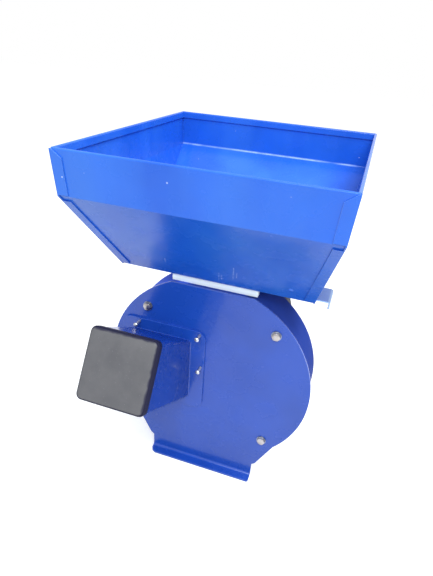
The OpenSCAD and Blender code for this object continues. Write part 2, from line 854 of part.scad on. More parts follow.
// Outlines of the two corner tabs, seen from the front
module tab_outlines() {
    low = floor_z + 3;
    under = waist_z - tab_relief;
    over = waist_z + 1;
    cut = rim_z - tab_cut;
    polygon([[side_x(over), over], [side_x(cut), cut], [side_x(rim_z - 1), rim_z - 1],
        [side_x(rim_z - 1) - 2, rim_z - 1], [side_x(cut) - tab_w, cut],
        [side_x(over) - tab_w, over]]);
    polygon([[side_x(low), low], [side_x(under), under], [side_x(under) - tab_w + 2, under],
        [side_x(low) - tab_w, low]]);
}

// One end panel, with its hem, its corner tabs and a tab on the floor
module hopper_side() {
    outside = offset_path(wrap_path, -hopper_t);
    corner = -rim_front + 2 * hem_r + 1;
    bare = -rim_front + hem_r;
    hemmed = hem_h - hem_r;
    intersection() {
        plate_y(-2 * rim_front, 2 * rim_back + 2 * rim_front)
            sheet(drawn_back(side_path, hem_r), 0, hopper_t);
        bar_x(0, rim_w) polygon(outside);
    }
    side_strip(bare, rim_back - hem_r, 0);
    side_strip(corner, rim_back - 2 * hem_r - 1, hemmed);
    below_rim = backwards(drawn_back(backwards(drawn_back(wrap_path, 0.5)), 0.5));
    intersection() {
        bar_x(0, rim_w) sheet(below_rim, -hopper_t, 0);
        plate_y(-2 * rim_front, 2 * rim_back + 2 * rim_front) tab_outlines();
    }
    translate([floor_w / 2 - tab_w, floor_front + 4, floor_z + hopper_t])
        cube([tab_w, floor_back - floor_front - 8, hopper_t]);
}

// The upper band of an end panel with its fold, from y0 to y1
module side_strip(y0, y1, drop) {
    n = len(side_path) - 1;
    inner = offset_path(side_path, hopper_t);
    low = (side_path[n] + side_path[n - 1]) / 2;
    plate_y(y0, y1 - y0) polygon(concat(
        hem(side_path[n], side_path[n - 1], 1, drop),
        [low + hopper_t * left_of(side_path[n - 1], side_path[n]), low]));
}

module hopper_left_side() {
    place() color([0.2, 0.36, 0.85]) mirror([1, 0, 0]) hopper_side();
}

module hopper_right_side() {
    place() color([0.2, 0.36, 0.85]) hopper_side();
}

// The one rivet that shows low on the front slope
module hopper_rivet() {
    rise = slope_h / 6;
    lean = atan2(waist_front + floor_front, slope_h);
    place() color([0.35, 0.45, 0.85])
        translate([floor_w / 2 - rivet_in, floor_front - rise * tan(lean), floor_z + rise])
            rotate([90 + lean, 0, 0]) intersection() {
                cylinder(r = rivet_r, h = rivet_h);
                translate([0, 0, rivet_h - rivet_dome]) sphere(rivet_dome);
            }
}

// Two rails under the floor that hold the gate plate's edges
module gate_guides() {
    x0 = pad_w / 2 + 1;
    x1 = floor_w / 2 - 3;
    inner = gate_w / 2 + sliding;
    lip_t = guide_h - gate_t - 2 * sliding;
    wall = 1.5;
    lip = 4;
    place() color([0.16, 0.3, 0.75]) for (side = [-1, 1])
        translate([0, gate_y, 0]) scale([1, side, 1]) {
            translate([x0, inner, floor_z - guide_h]) cube([x1 - x0, wall, guide_h]);
            translate([x0, inner - lip, floor_z - guide_h]) cube([x1 - x0, lip + 1, lip_t]);
        }
}

// Gate plate, bent down into a lip at its outer end
module gate_plate() {
    outer = gate_bend + gate_t;
    bend_x = gate_reach - outer;
    top = gate_z + gate_t;
    curl_r = 4;
    place() color([0.5, 0.66, 0.85]) plate_y(gate_y - gate_w / 2, gate_w) {
        translate([gate_start, gate_z]) square([bend_x - gate_start, gate_t]);
        translate([bend_x, top - outer]) intersection() {
            difference() {
                circle(outer);
                circle(gate_bend);
            }
            square(outer);
        }
        translate([gate_reach - gate_t, top - outer - gate_lip]) square([gate_t, gate_lip]);
        translate([gate_reach - curl_r, top - outer - gate_lip]) intersection() {
            difference() {
                circle(curl_r);
                circle(curl_r - gate_t);
            }
            translate([0, -curl_r / 2]) square([curl_r, curl_r / 2]);
        }
    }
}

module hopper_screws() {
    head_z = floor_z + hopper_t;
    head = 1.5 * hopper_screw_r;
    end = 2.3;
    dome = 2.4 * hopper_screw_r;
    length = head_z - top_z + back_t + hopper_nut_h + end;
    place() color([0.8, 0.81, 0.82]) at_hopper_screws() translate([0, 0, head_z]) {
        translate([0, 0, -length]) cylinder(r = hopper_screw_r, h = length);
        intersection() {
            cylinder(r = 1.8 * hopper_screw_r, h = head);
            translate([0, 0, head - dome]) sphere(dome);
        }
    }
}

module hopper_nuts() {
    place() color([0.8, 0.81, 0.82]) for (x = [-1, 1], row = [0, 1])
        translate([x * hopper_screw_x, row == 0 ? hopper_screw_front : hopper_screw_back,
            top_z - (row == 0 ? shell_t : back_t) - hopper_nut_h]) difference() {
                cylinder(r = 1.8 * hopper_screw_r, h = hopper_nut_h, $fn = 6);
                translate([0, 0, -1]) cylinder(r = hopper_screw_r + fit, h = hopper_nut_h + 2);
            }
}

module front_shield() {
    place() color([0.24, 0.25, 0.27]) difference() {
        union() {
            difference() {
                union() {
                    axle(motor_r, shield_y, housing_y);
                    axle(core_r - fit, housing_y - 1, housing_y + spigot_l);
                }
                axle(core_r - shield_wall, shield_y + shield_face, housing_y + spigot_l + 1);
            }
            axle(bearing_r + bearing_wall, shield_y + shield_face - 1, housing_y);
        }
        axle(shaft_hole_r, shield_y - 1, housing_y);
        axle(bearing_r, front_bearing_y, housing_y + 1);
        round_axis(4, 45, flange_screw_pcd_r)
            rod(flange_screw_r, shield_y - 1, shield_y + flange_screw_grip + 2);
    }
}

module flange_screws() {
    place() color([0.8, 0.81, 0.82]) round_axis(4, 45, flange_screw_pcd_r) {
        rod(flange_screw_r, back_y + 1, shield_y + flange_screw_grip);
        translate([0, back_y, 0]) rotate([-90, 0, 0])
            cylinder(r1 = 2 * flange_screw_r, r2 = flange_screw_r, h = sink_h);
    }
}

module motor_housing() {
    inset = 6;
    rib_inset = 4;
    rib_root = 2;
    place() color([0.14, 0.14, 0.17]) difference() {
        union() {
            axle(motor_r, housing_y, rear_shield_y);
            round_axis(rib_count, 180 / rib_count, motor_r - rib_root)
                translate([0, housing_y + rib_inset, -rib_t / 2])
                    cube([motor_rib_r - motor_r + rib_root, tube_l - 2 * rib_inset, rib_t]);
            for (x = [-1, 1])
                translate([x * bolt_x - motor_pad_w / 2, housing_y + inset, pad_z])
                    cube([motor_pad_w, tube_l - 2 * inset, axis_z - pad_z - boss_low_r]);
            translate([-boss_x, box_y, axis_z + boss_low_r])
                cube([2 * boss_x, box_l, box_seat - boss_low_r]);
        }
        axle(core_r, housing_y - 1, rear_shield_y + 1);
        at_stand_bolts() cylinder(r = stand_bolt_r, h = stand_bolt_grip + 1);
        translate([0, box_y + box_l / 2, axis_z + boss_low_r])
            cylinder(r = cable_hole_r, h = box_seat);
    }
}

module at_stand_bolts() {
    for (x = [-1, 1], y = [bolt_inset, stand_l - bolt_inset])
        translate([x * bolt_x, stand_y + y, pad_z - eps]) children();
}

module stator_core() {
    place() color([0.45, 0.46, 0.48]) difference() {
        axle(core_r, core_y, core_y + core_l);
        axle(armature_r + air_gap, core_y - 1, core_y + core_l + 1);
    }
}

// End turns of the winding, as a rounded ring on each side of the core
module stator_winding() {
    inner = armature_r + air_gap + winding_gap;
    outer = core_r - winding_gap - 1;
    length = 11;
    for (y = [core_y - length, core_y + core_l])
        place() color([0.72, 0.4, 0.2]) translate([0, y, axis_z]) rotate([-90, 0, 0])
            rotate_extrude() translate([(inner + outer) / 2, length / 2])
                rounded_rect(outer - inner, length, winding_round);
}

module rear_shield() {
    place() color([0.24, 0.25, 0.27]) difference() {
        union() {
            difference() {
                union() {
                    axle(motor_r, rear_shield_y, fan_y);
                    axle(core_r - fit, rear_shield_y - spigot_l, rear_shield_y + 1);
                }
                axle(core_r - shield_wall, rear_shield_y - spigot_l - 1, fan_y - shield_wall);
            }
            axle(bearing_r + bearing_wall, rear_shield_y, fan_y - shield_wall + 1);
        }
        axle(bearing_r - bearing_lip, rear_shield_y, fan_y + 1);
        axle(bearing_r, rear_shield_y - 1, rear_bearing_y + bearing_w);
        round_axis(4, 0, shield_screw_pcd_r)
            rod(shield_screw_r, fan_y - shield_screw_grip - 1, fan_y + 1);
    }
}

module shield_screws() {
    place() color([0.8, 0.81, 0.82]) round_axis(4, 0, shield_screw_pcd_r) {
        rod(shield_screw_r, fan_y - shield_screw_grip, fan_y);
        hexagon(3.6 * shield_screw_r, fan_y, fan_y + shield_head_h);
    }
}

module bearing(y) {
    race = 3;
    recess = 0.8;
    difference() {
        axle(bearing_r, y, y + bearing_w);
        axle(shaft_r + running, y - 1, y + bearing_w + 1);
        for (face = [y - 1, y + bearing_w - recess])
            difference() {
                axle(bearing_r - race, face, face + 1 + recess);
                axle(shaft_r + race, face - 1, face + 3);
            }
    }
}

module front_bearing() {
    place() color([0.75, 0.76, 0.78]) bearing(front_bearing_y);
}

module rear_bearing() {
    place() color([0.75, 0.76, 0.78]) bearing(rear_bearing_y);
}

module key_space(gap) {
    translate([-key_w / 2 - gap, knife_y - eps, axis_z + shaft_r - key_w / 2 - gap])
        cube([key_w + 2 * gap, stack_end - knife_y + 2 * eps, key_w + 2 * gap]);
}

module motor_shaft() {
    place() color([0.72, 0.73, 0.75]) difference() {
        union() {
            axle(stud_r, stud_y, knife_y);
            axle(shaft_r, knife_y, motor_end - fan_cover_wall - shaft_gap);
        }
        key_space(0);
    }
}

module armature() {
    place() color([0.5, 0.51, 0.53]) difference() {
        union() {
            axle(armature_r, core_y, core_y + core_l);
            axle(armature_r - end_ring - 1, core_y - end_ring, core_y + core_l + end_ring);
        }
        axle(shaft_r + fit / 2, core_y - end_ring - 1, core_y + core_l + end_ring + 1);
    }
}

module cooling_fan() {
    y0 = fan_y + shield_head_h + 1.5;
    hub_r = shaft_r + 6;
    thick = 2;
    place() color([0.1, 0.1, 0.11]) difference() {
        union() {
            axle(hub_r, y0, y0 + fan_hub_l);
            axle(fan_r, y0, y0 + thick);
            round_axis(fan_blades, 0, hub_r - thick)
                translate([0, y0, -thick / 2]) cube([fan_r - hub_r, fan_hub_l - 1, thick]);
        }
        axle(shaft_r + fit / 2, y0 - 1, y0 + fan_hub_l + 1);
    }
}

// Cap over the fan, with rings of slots in its back
module fan_cover() {
    inside_r = motor_rib_r - fan_cover_wall;
    slot_l = 10;
    slot_w = 6.4;
    first_ring = 20;
    ring_step = 15;
    place() color([0.09, 0.09, 0.12]) difference() {
        union() {
            difference() {
                axle(motor_rib_r, lap_start, motor_end);
                axle(inside_r, lap_start - 1, motor_end - fan_cover_wall);
            }
            difference() {
                axle(inside_r + eps, lap_start, lap_end);
                axle(motor_r + fit, lap_start - 1, lap_end + 1);
            }
        }
        for (ring = [0 : 2])
            round_axis(8 + 4 * ring, 0, first_ring + ring_step * ring)
                translate([0, motor_end - 2 * fan_cover_wall, -slot_w / 2])
                    cube([slot_l, 4 * fan_cover_wall, slot_w]);
        round_axis(4, 45, motor_r - 1)
            translate([0, lap_screw_y, 0]) rotate([0, 90, 0])
                cylinder(r = fan_screw_r + fit, h = 2 * (motor_rib_r - motor_r));
    }
}

module fan_cover_screws() {
    length = motor_rib_r - motor_r - 2 * fit;
    head = 1.6;
    place() color([0.8, 0.81, 0.82]) round_axis(4, 45, motor_rib_r)
        translate([-length, lap_screw_y, 0]) rotate([0, 90, 0]) {
            cylinder(r = fan_screw_r, h = length + head / 2);
            translate([0, 0, length]) cylinder(r = 2 * fan_screw_r, h = head);
        }
}

module drive_key() {
    place() color([0.6, 0.61, 0.63]) intersection() {
        key_space(0);
        axle(spacer_r, knife_y, stack_end);
    }
}

// A bar blade across the shaft, with one edge ground at each end, on opposite sides
module blade(y, turn) {
    flat = [[0, -knife_w / 2], [knife_t, -knife_w / 2], [knife_t, knife_w / 2], [0, knife_w / 2]];
    ground = [[0, -knife_w / 2], [knife_t, -knife_w / 2], [knife_t, knife_w / 2],
        [knife_t - edge_t, knife_w / 2], [0, knife_w / 2 - knife_grind]];
    translate([0, y, axis_z]) rotate([0, turn, 0]) difference() {
        intersection() {
            union() {
                bar_x(-knife_root, knife_root) polygon(flat);
                for (end = [0, 180]) rotate([0, end, 0])
                    bar_x(knife_root - 1, knife_reach) polygon(ground);
            }
            rod(knife_reach, -1, knife_t + 1);
        }
        rod(shaft_r + fit / 2, -1, knife_t + 1);
    }
}

module front_knife() {
    place() color([0.68, 0.69, 0.71]) difference() {
        blade(knife_y, 25);
        key_space(0);
    }
}

module cross_knife() {
    place() color([0.68, 0.69, 0.71]) difference() {
        blade(cross_y, 115);
        key_space(0);
    }
}

// Two square-ended beaters, one bar, behind the knives
module beaters() {
    place() color([0.5, 0.51, 0.53]) difference() {
        translate([0, beater_y, axis_z]) rotate([0, 70, 0]) intersection() {
            translate([-knife_reach, 0, -beater_w / 2])
                cube([2 * knife_reach, beater_t, beater_w]);
            rod(knife_reach, -1, beater_t + 1);
        }
        axle(shaft_r + fit / 2, beater_y - 1, stack_end + 1);
        key_space(0);
    }
}

module sleeve(y0, y1, r) {
    difference() {
        axle(r, y0, y1);
        axle(shaft_r + fit / 2, y0 - 1, y1 + 1);
        key_space(0);
    }
}

module spacer_sleeves() {
    place() color([0.6, 0.61, 0.63]) {
        sleeve(knife_y + knife_t, cross_y, spacer_r);
        sleeve(cross_y + knife_t, beater_y, spacer_r);
        sleeve(stack_end, sleeve_end, sleeve_r);
    }
}

module lock_washer() {
    place() color([0.75, 0.76, 0.78]) difference() {
        axle(spacer_r - 1, knife_y - washer_h, knife_y);
        axle(stud_r + fit, knife_y - washer_h - 1, knife_y + 1);
    }
}

module lock_nut() {
    y1 = knife_y - washer_h;
    place() color([0.75, 0.76, 0.78]) difference() {
        translate([0, 0, axis_z]) hexagon(3.6 * stud_r, y1 - nut_h, y1);
        axle(stud_r + fit, y1 - nut_h - 1, y1 + 1);
    }
}

// Bridge of bent sheet under the motor, standing on two outward feet
module rear_stand() {
    place() color([0.12, 0.23, 0.62]) difference() {
        plate_y(stand_y, stand_l) difference() {
            polygon([[-stand_foot_w / 2, 0], [-stand_foot_w / 2, stand_t],
                [-stand_foot_w / 2 + stand_foot - stand_t, stand_t], [-stand_top_w / 2, pad_z],
                [stand_top_w / 2, pad_z], [stand_foot_w / 2 - stand_foot + stand_t, stand_t],
                [stand_foot_w / 2, stand_t], [stand_foot_w / 2, 0]]);
            polygon([[-stand_foot_w / 2 + stand_foot, -1], [-stand_foot_w / 2 + stand_foot, 0],
                [-stand_top_w / 2 + stand_t, pad_z - stand_t],
                [stand_top_w / 2 - stand_t, pad_z - stand_t],
                [stand_foot_w / 2 - stand_foot, 0], [stand_foot_w / 2 - stand_foot, -1]]);
        }
        at_stand_bolts() translate([0, 0, -stand_t - 1])
            cylinder(r = stand_bolt_r + fit, h = stand_t + 2);
    }
}

module stand_bolts() {
    head = 4;
    place() color([0.8, 0.81, 0.82]) at_stand_bolts() {
        translate([0, 0, -stand_t + eps])
            cylinder(r = stand_bolt_r, h = stand_t + stand_bolt_grip);
        translate([0, 0, -stand_t - head + eps])
            cylinder(d = 3.6 * stand_bolt_r, h = head, $fn = 6);
    }
}

module box_outline(shrink) {
    translate([0, box_y + box_l / 2])
        rounded_rect(box_w - 2 * shrink, box_l - 2 * shrink, box_corner - shrink);
}

module at_lid_screws() {
    for (x = [-1, 1], y = [-1, 1])
        translate([x * (box_w / 2 - box_corner), box_y + box_l / 2 + y * (box_l / 2 - box_corner), 0])
            children();
}

module switch_box() {
    place() color([0.12, 0.12, 0.13]) difference() {
        union() {
            translate([0, 0, box_z]) linear_extrude(box_h) difference() {
                box_outline(0);
                box_outline(box_wall);
            }
            translate([0, 0, box_z]) linear_extrude(box_wall) box_outline(0);
            at_lid_screws() translate([0, 0, box_z])
                cylinder(r = lid_boss_r, h = box_h);
        }
        translate([0, box_y + box_l / 2, box_z - 1]) cylinder(r = cable_hole_r, h = box_wall + 2);
        at_lid_screws() translate([0, 0, lid_head_z - lid_screw_l - 2])
            cylinder(r = lid_screw_r, h = lid_screw_l);
        translate([-switch_w / 2, switch_y - box_wall - 1, switch_z - switch_h / 2])
            cube([switch_w, box_wall + 2, switch_h]);
        gland_frame() translate([0, 0, -box_wall - 1])
            cylinder(r = gland_neck_r + fit, h = box_wall + 2);
    }
}

module switch_lid() {
    place() color([0.12, 0.12, 0.13]) difference() {
        union() {
            translate([0, 0, box_z + box_h]) linear_extrude(lid_t) box_outline(0);
            translate([0, 0, box_z + box_h + lid_t]) linear_extrude(lid_step) box_outline(1.5);
        }
        at_lid_screws() translate([0, 0, box_z + box_h - 1])
            cylinder(r = lid_screw_r + fit, h = lid_t + 3);
    }
}

module lid_screws() {
    place() color([0.8, 0.81, 0.82]) at_lid_screws() {
        translate([0, 0, lid_head_z - lid_screw_l]) cylinder(r = lid_screw_r, h = lid_screw_l);
        translate([0, 0, lid_head_z]) cylinder(r = 1.9 * lid_screw_r, h = 1.2 * lid_screw_r);
    }
}

// Frame of the cord inlet, on the box's left side, with Z pointing out
module gland_frame() {
    translate([-box_w / 2, box_y + box_l / 2, switch_z]) rotate([0, -90, 0]) children();
}

// Cable gland with an open bore: a threaded neck, a hexagon and a domed cap
module cord_gland() {
    place() color([0.09, 0.09, 0.1]) gland_frame() difference() {
        union() {
            translate([0, 0, -box_wall - gland_nut_t])
                cylinder(r = gland_neck_r, h = box_wall + gland_nut_t);
            cylinder(r = 1.15 * gland_r, h = gland_nut_t, $fn = 6);
            translate([0, 0, gland_nut_t])
                cylinder(r1 = gland_r, r2 = gland_bore_r + 1.6, h = gland_len - gland_nut_t);
        }
        translate([0, 0, -box_wall - gland_nut_t - 1])
            cylinder(r = gland_bore_r, h = gland_len + box_wall + gland_nut_t + 2);
    }
}

// Snap-in frame round the rocker, with a lip outside the box
module switch_frame() {
    depth = 12;
    lip = 2.5;
    place() color([0.07, 0.07, 0.08]) translate([0, switch_y, switch_z]) difference() {
        union() {
            plate_y(0, 2) rounded_rect(switch_w + 2 * lip, switch_h + 2 * lip, 2);
            plate_y(-depth, depth) square([switch_w - 2 * fit, switch_h - 2 * fit], center = true);
        }
        plate_y(-depth + frame_wall, depth + 3)
            square([switch_w - 2 * frame_wall, switch_h - 2 * frame_wall], center = true);
        translate([0, -2, -switch_h]) cylinder(r = rocker_pin_r + running, h = 2 * switch_h);
    }
}

// Rocker, drawn in its off position; its pin lies along Z
module switch_rocker() {
    half = switch_w / 2 - 2 * frame_wall;
    tall = switch_h - 2 * frame_wall - 4 * sliding;
    place() color([0.6, 0.08, 0.07]) translate([0, switch_y - 2, switch_z - tall / 2])
        rotate(-rocker_tilt) difference() {
            linear_extrude(tall) {
                polygon([[-half, 3], [-half, half * tan(rocker_tilt) + 4], [0, 4.2],
                    [half, half * tan(rocker_tilt) + 4], [half, 3], [3.5, -2.5], [-3.5, -2.5]]);
            }
            translate([0, 0, -1]) cylinder(r = rocker_pin_r, h = tall + 2, $fn = 32);
        }
}

module rocker_pin() {
    tall = switch_h - 2 * fit;
    place() color([0.7, 0.71, 0.73]) translate([0, switch_y - 2, switch_z - tall / 2])
        cylinder(r = rocker_pin_r, h = tall, $fn = 32);
}

// Frame along the capacitor, beside the motor
module capacitor_frame() {
    translate([0, 0, axis_z]) rotate([0, -capacitor_angle, 0]) translate([capacitor_d, 0, 0])
        children();
}

module capacitor() {
    y0 = housing_y + (tube_l - capacitor_l) / 2;
    end_t = 3;
    tag_x = 5;
    tag = [0.8, 7, 6];
    place() color([0.75, 0.76, 0.78]) capacitor_frame() {
        rod(capacitor_r, y0, y0 + capacitor_l);
        rod(capacitor_r - 2, y0 + capacitor_l, y0 + capacitor_l + end_t);
        for (x = [-tag_x, tag_x])
            translate([x - tag[0] / 2, y0 + capacitor_l + end_t - eps, -tag[2] / 2]) cube(tag);
    }
}

// Round clip with a foot that reaches the motor's tube between two ribs
module capacitor_clip() {
    w = 14;
    foot = 9;
    y0 = housing_y + (tube_l - w) / 2;
    outer = capacitor_r + fit + clip_t;
    place() color([0.55, 0.57, 0.6]) capacitor_frame() difference() {
        union() {
            rod(outer, y0, y0 + w);
            translate([-capacitor_d + motor_r, y0, -foot / 2])
                cube([capacitor_d - motor_r, w, foot]);
        }
        rod(capacitor_r + fit, y0 - 1, y0 + w + 1);
        translate([-capacitor_d, 0, 0]) rod(motor_r + fit, y0 - 1, y0 + w + 1);
    }
}

front_cover();
drum_shell();
back_plate();
cover_posts();
sieve_seat();
sieve();
inlet_duct();
cover_washers();
cover_screws();
chute_flange();
chute_tube();
chute_screws();
chute_nuts();
chute_plug();
inlet_pad();
hopper_bracket();
hopper_main_sheet();
hopper_left_side();
hopper_right_side();
hopper_rivet();
gate_guides();
gate_plate();
hopper_screws();
hopper_nuts();
front_shield();
flange_screws();
motor_housing();
stator_core();
stator_winding();
rear_shield();
shield_screws();
front_bearing();
rear_bearing();
motor_shaft();
armature();
cooling_fan();
fan_cover();
fan_cover_screws();
drive_key();
front_knife();
cross_knife();
beaters();
spacer_sleeves();
lock_washer();
lock_nut();
rear_stand();
stand_bolts();
switch_box();
switch_lid();
lid_screws();
cord_gland();
switch_frame();
switch_rocker();
rocker_pin();
capacitor();
capacitor_clip();
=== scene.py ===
import math

import bmesh
import bpy
from mathutils import Matrix, Vector


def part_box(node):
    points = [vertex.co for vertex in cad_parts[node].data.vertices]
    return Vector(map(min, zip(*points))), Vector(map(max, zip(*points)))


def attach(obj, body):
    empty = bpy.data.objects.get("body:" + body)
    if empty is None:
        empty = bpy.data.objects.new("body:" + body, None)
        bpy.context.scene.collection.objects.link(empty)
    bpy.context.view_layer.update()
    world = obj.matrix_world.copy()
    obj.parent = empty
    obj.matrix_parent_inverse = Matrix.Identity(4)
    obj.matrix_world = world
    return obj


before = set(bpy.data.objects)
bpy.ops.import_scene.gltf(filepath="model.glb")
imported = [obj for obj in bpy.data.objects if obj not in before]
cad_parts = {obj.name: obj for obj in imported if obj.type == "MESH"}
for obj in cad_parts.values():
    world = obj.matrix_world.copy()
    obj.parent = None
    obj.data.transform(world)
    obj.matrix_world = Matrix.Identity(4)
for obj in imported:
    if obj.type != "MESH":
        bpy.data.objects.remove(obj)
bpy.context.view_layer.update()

# Looks of a bench-top forage chopper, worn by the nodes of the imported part. Lengths are metres in
# the part's frame. Scales of noises and cells are features to the metre, colours are linear.
MM = 0.001

# The camera, fitted to the photograph: its place, its aim in radians, its focal length in pixels
# of a picture 576 high, and its sensor in millimetres
PICTURE_HEIGHT = 576
CAMERA_AT = Vector((0.14985, -0.52985, 0.54573))
CAMERA_YAW, CAMERA_PITCH, CAMERA_ROLL = -0.296, -0.482, -0.073
CAMERA_FOCAL_PX = 471.9
SENSOR = 36.0

# The chute and its plug, as in the part: directions out of the chute and up across it
CHUTE_TILT = math.radians(30.8)
OUT = Vector((0, -math.cos(CHUTE_TILT), math.sin(CHUTE_TILT)))
UP = Vector((0, math.sin(CHUTE_TILT), math.cos(CHUTE_TILT)))
TUBE_CORNER = 5 * MM
CAP_T = 5 * MM
CAP_CORNER = 6 * MM

# The rim of the plug's cap: its reach behind the cap, how far it stands out from the cap's sides,
# the rounding of its front and back edges, the play of its bore round the tube, the end of that
# bore behind the cap, and the rim's corner
RIM_REACH = 6 * MM
RIM_OVER = 1.3 * MM
RIM_ROUND = 4.5 * MM
RIM_BACK_ROUND = 0.8 * MM
RIM_PLAY = 0.7 * MM
RIM_BORE_END = 0.2 * MM
RIM_CORNER = CAP_CORNER + 1 * MM

# The weld round the chute: its radius, the spacing of its points, and how far its middle stands
# off the flange
BEAD_R = 0.9 * MM
BEAD_STEP = 1.1 * MM
BEAD_OFF = 0.2 * BEAD_R

# The flange's screws: their heads as in the part, and the threads on their shanks, which end
# just off the flange
HEAD_T = 2.5 * MM
SHANK_R = 1.52 * MM
THREAD_H = 0.2 * MM
THREAD_PITCH = 0.62 * MM
THREAD_END = 0.05 * MM
THREAD_SIDES = 18
ROWS_PER_TURN = 6

# Colours of the paints. A thinner coat lies on worn edges, which also carry a painted highlight, and a
# pale one in streaks.
BLUE = (0.010, 0.063, 0.41)
BLUE_EDGE_AND_HIGHLIGHT = (0.10, 0.24, 0.80)
# Painted shade: the chute's tube is a darker copy of the cover's blue, for the shade it lies in under
# the hopper.
TUBE_SHADED_BLUE = (0.006, 0.045, 0.33)
# Painted shade: the drum's shell is painted darker than the cover, for the shade on its right side.
SHELL_SHADED_BLUE = (0.018, 0.046, 0.28)
# Painted light: the brighter blue of the drum's lit left shoulder.
SHELL_PAINTED_LIT = (0.06, 0.16, 0.85)
HOPPER_BLUE = (0.012, 0.108, 0.62)
HOPPER_EDGE_AND_HIGHLIGHT = (0.22, 0.40, 0.95)
HOPPER_PALE = (0.045, 0.19, 0.66)
SCRATCH_PALE = (0.5, 0.62, 0.95)
CHIP_PALE = (0.8, 0.85, 0.95)
# Painted highlight along the hopper's inner back bend.
BEND_HIGHLIGHT = (0.55, 0.72, 0.98)
DUST = (0.75, 0.8, 0.95)

# Axes that the lines of a brushed steel can follow
ALONG_X, ALONG_Y = (1, 0, 0), (0, 1, 0)

# Each scratch on the hopper's front: x, lowest z, highest z; each chip: its place; millimetres.
# A scratch moves right by SCRATCH_LEAN of its rise, and shows only in front of FRONT_Y.
SCRATCHES = [(9.5, 297, 315), (13, 300, 312), (29, 306, 331), (32.5, 310, 322), (-54, 313, 322)]
CHIPS = [(-135.7, -139.9, 417.3), (-23.8, -139.0, 427.8)]
SCRATCH_LEAN = 0.2
FRONT_Y = -42 * MM

# The studio: the floor and the sky as they light the object, and as they are seen. The floor lies
# just under the feet, so that it doesn't share their plane.
FLOOR = (0.55, 0.55, 0.55)
FLOOR_SEEN = (0.86, 0.86, 0.86)
FLOOR_GLOW = 0.3
FLOOR_SIDE, FLOOR_DROP = 14, 0.4 * MM
SKY, SKY_SEEN = 0.8, 1.0
LAMP_AIM = (0, 0, 0.3)
# Each lamp: name, place, side of its square, power in watts, colour
LAMPS = [("key", (0.35, -1.5, 1.75), 1.2, 40, (0.92, 1.0, 1.0)),
         ("top", (1.0, 0.1, 2.0), 1.4, 34, (1.0, 1.0, 1.0))]


def shade(colour, factor, lift=0.0):
    """A colour made darker or lighter by a factor, and lifted evenly."""
    return [c * factor + lift for c in colour]


